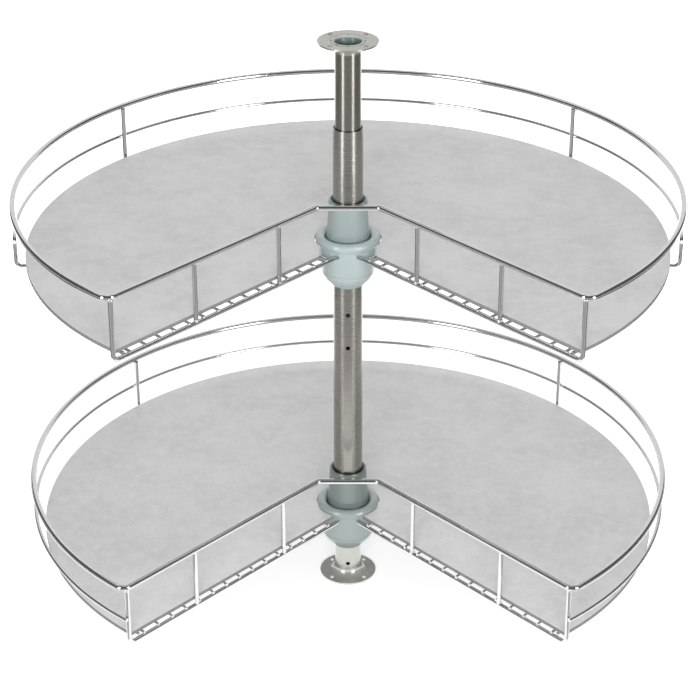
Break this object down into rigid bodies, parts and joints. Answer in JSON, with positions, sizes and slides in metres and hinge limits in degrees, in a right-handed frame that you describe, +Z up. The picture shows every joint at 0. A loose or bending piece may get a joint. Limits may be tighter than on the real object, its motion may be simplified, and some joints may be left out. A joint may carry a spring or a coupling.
{
  "type": "corner cabinet carousel",
  "caption": "Telescopic post with round wire-railed trays, each with a V-shaped front opening, that turn on ball races inside a corner kitchen cabinet.",
  "frame": {"origin": "on the post axis at the underside of the floor flange", "axes": "+Z up along the post, -Y towards the V-shaped front opening of the trays at rest, +X to the right seen from the front"},
  "size_m": [0.71, 0.6254, 0.645],
  "materials": {
    "post_steel": "satin grey coated steel tube",
    "chrome": "bright chrome-plated wire",
    "board": "light grey faced fibreboard with a darker cut edge",
    "hub_plastic": "semi-gloss grey-green moulded plastic",
    "bush_plastic": "satin light grey moulded plastic",
    "dark_plastic": "satin dark grey moulded plastic",
    "race_steel": "bright zinc-plated steel"
  },
  "bodies": {
    "post": {"floor_flange": "post_steel", "foot_tube": "post_steel", "main_tube": "post_steel", "guide_bush": "dark_plastic", "upper_stop_collar": "hub_plastic", "upper_stop_screw": "race_steel", "upper_fixed_race": "race_steel", "lower_stop_collar": "hub_plastic", "lower_stop_screw": "race_steel", "lower_fixed_race": "race_steel"},
    "ceiling_end": {"ceiling_flange": "post_steel", "ceiling_tube": "post_steel", "tube_end_guide": "dark_plastic", "mouth_bush": "bush_plastic"},
    "upper_tray": {"upper_board": "board", "upper_top_rail": "chrome", "upper_middle_rail": "chrome", "upper_frame_right": "chrome", "upper_frame_left": "chrome", "upper_front_uprights": "chrome", "upper_back_uprights": "chrome", "upper_rim_wire": "chrome", "upper_spine_wire": "chrome", "upper_hub_arcs": "chrome", "upper_floor_wires_right": "chrome", "upper_floor_wires_left": "chrome", "upper_hub_plate": "race_steel", "upper_hub_ring": "hub_plastic", "upper_sleeve": "hub_plastic", "upper_socket": "hub_plastic", "upper_turning_race": "race_steel"},
    "lower_tray": {"lower_board": "board", "lower_top_rail": "chrome", "lower_middle_rail": "chrome", "lower_frame_right": "chrome", "lower_frame_left": "chrome", "lower_front_uprights": "chrome", "lower_back_uprights": "chrome", "lower_rim_wire": "chrome", "lower_spine_wire": "chrome", "lower_hub_arcs": "chrome", "lower_floor_wires_right": "chrome", "lower_floor_wires_left": "chrome", "lower_hub_plate": "race_steel", "lower_hub_ring": "hub_plastic", "lower_sleeve": "hub_plastic", "lower_socket": "hub_plastic", "lower_turning_race": "race_steel"},
    "upper_ball_race": {"upper_balls": "race_steel", "upper_ball_cage": "dark_plastic"},
    "lower_ball_race": {"lower_balls": "race_steel", "lower_ball_cage": "dark_plastic"}
  },
  "joints": [
    {"name": "lower_tray_turn", "type": "hinge", "parent": "post", "child": "lower_tray", "pos_m": [0, 0, 0.084], "axis": [0, 0, 1], "continuous": true},
    {"name": "upper_tray_turn", "type": "hinge", "parent": "post", "child": "upper_tray", "pos_m": [0, 0, 0.414], "axis": [0, 0, 1], "continuous": true},
    {"name": "lower_race_turn", "type": "hinge", "parent": "post", "child": "lower_ball_race", "pos_m": [0, 0, 0.084], "axis": [0, 0, 1], "continuous": true},
    {"name": "upper_race_turn", "type": "hinge", "parent": "post", "child": "upper_ball_race", "pos_m": [0, 0, 0.414], "axis": [0, 0, 1], "continuous": true},
    {"name": "post_length", "type": "slide", "parent": "post", "child": "ceiling_end", "axis": [0, 0, 1], "range_m": [-0.075, 0.105]}
  ],
  "couplings": [
    {"joint": "lower_race_turn", "follows": "lower_tray_turn", "ratio": 0.5},
    {"joint": "upper_race_turn", "follows": "upper_tray_turn", "ratio": 0.5}
  ]
}
